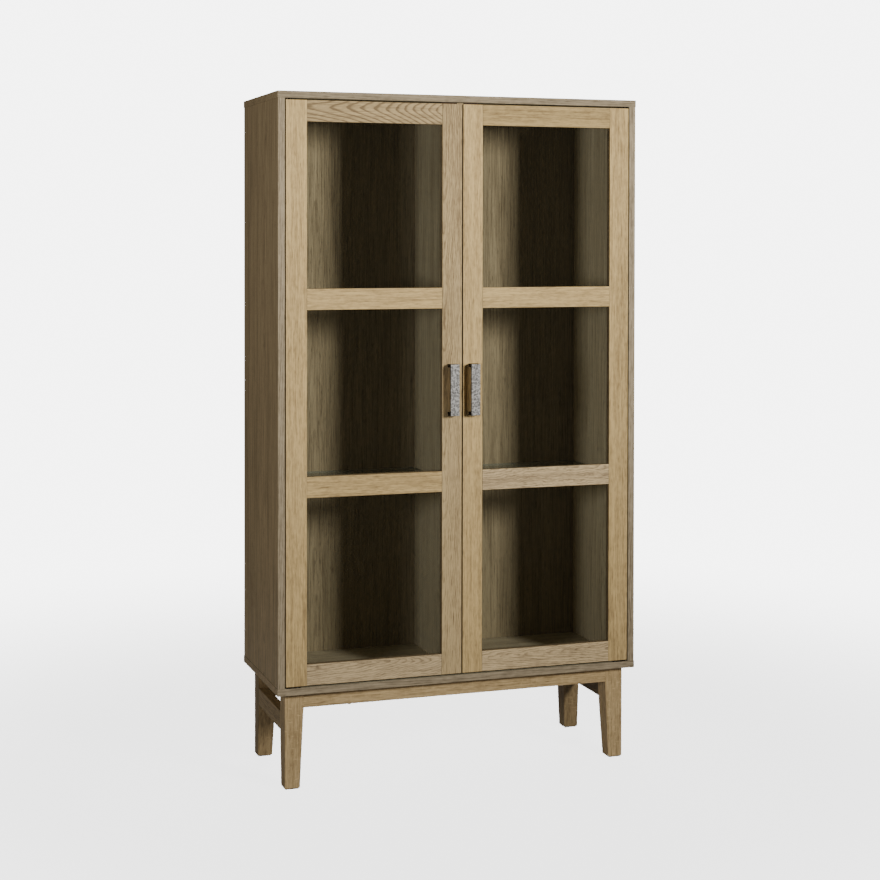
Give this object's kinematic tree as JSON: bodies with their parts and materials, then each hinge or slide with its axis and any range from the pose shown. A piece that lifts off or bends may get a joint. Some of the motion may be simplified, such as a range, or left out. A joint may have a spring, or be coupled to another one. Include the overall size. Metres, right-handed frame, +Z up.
{
  "type": "display cabinet",
  "caption": "Tall oak display cabinet with inset framed glass doors, a centre divider, glass shelves and flat bar handles, on a low base of tapered legs.",
  "frame": {"origin": "on the floor, in the middle of the bounding box of the whole cabinet with its handles", "axes": "+Z up, doors face -Y, +X to the viewer's right when looking at the doors"},
  "size_m": [1, 0.426, 1.8],
  "materials": {
    "carcass_oak": "oiled oak veneer, satin",
    "back_oak": "oiled oak veneer, satin",
    "base_oak": "oiled solid oak, satin",
    "door_oak": "oiled solid oak, satin",
    "tenon_beech": "plain beech",
    "pane_glass": "clear float glass",
    "shelf_glass": "clear float glass with ground edges",
    "pin_steel": "nickel-plated steel",
    "screw_steel": "zinc-plated steel",
    "pivot_steel": "nickel-plated steel",
    "handle_iron": "hammered, silver grey",
    "catch_plastic": "moulded case, brown",
    "glide_felt": "pressed felt"
  },
  "bodies": {
    "carcass": {"top_panel": "carcass_oak", "bottom_panel": "carcass_oak", "side_panel_left": "carcass_oak", "side_panel_right": "carcass_oak", "centre_divider": "carcass_oak", "back_panel": "back_oak", "carcass_tenons": "tenon_beech", "shelf_left_lower": "shelf_glass", "shelf_left_upper": "shelf_glass", "shelf_right_lower": "shelf_glass", "shelf_right_upper": "shelf_glass", "shelf_pins": "pin_steel", "leg_front_left": "base_oak", "leg_front_right": "base_oak", "apron_front": "base_oak", "leg_rear_left": "base_oak", "leg_rear_right": "base_oak", "apron_rear": "base_oak", "side_rail_left": "base_oak", "side_rail_right": "base_oak", "base_screws": "screw_steel", "leg_glides": "glide_felt", "pivot_plates_left": "pivot_steel", "pivot_plates_right": "pivot_steel", "magnetic_catches": "catch_plastic"},
    "left_door": {"stile_outer_left": "door_oak", "stile_inner_left": "door_oak", "rail_bottom_left": "door_oak", "rail_middle_lower_left": "door_oak", "rail_middle_upper_left": "door_oak", "rail_top_left": "door_oak", "pane_lower_left": "pane_glass", "pane_middle_left": "pane_glass", "pane_upper_left": "pane_glass", "glass_beads_left": "door_oak", "handle_left": "handle_iron", "handle_screws_left": "screw_steel", "pivot_sockets_left": "pivot_steel", "strike_plate_left": "pivot_steel"},
    "right_door": {"stile_outer_right": "door_oak", "stile_inner_right": "door_oak", "rail_bottom_right": "door_oak", "rail_middle_lower_right": "door_oak", "rail_middle_upper_right": "door_oak", "rail_top_right": "door_oak", "pane_lower_right": "pane_glass", "pane_middle_right": "pane_glass", "pane_upper_right": "pane_glass", "glass_beads_right": "door_oak", "handle_right": "handle_iron", "handle_screws_right": "screw_steel", "pivot_sockets_right": "pivot_steel", "strike_plate_right": "pivot_steel"}
  },
  "joints": [
    {"name": "left_door_hinge", "type": "hinge", "parent": "carcass", "child": "left_door", "pos_m": [-0.471, -0.181, 1.025], "axis": [0, 0, -1], "range_deg": [0, 105]},
    {"name": "right_door_hinge", "type": "hinge", "parent": "carcass", "child": "right_door", "pos_m": [0.471, -0.181, 1.025], "axis": [0, 0, 1], "range_deg": [0, 105]}
  ]
}
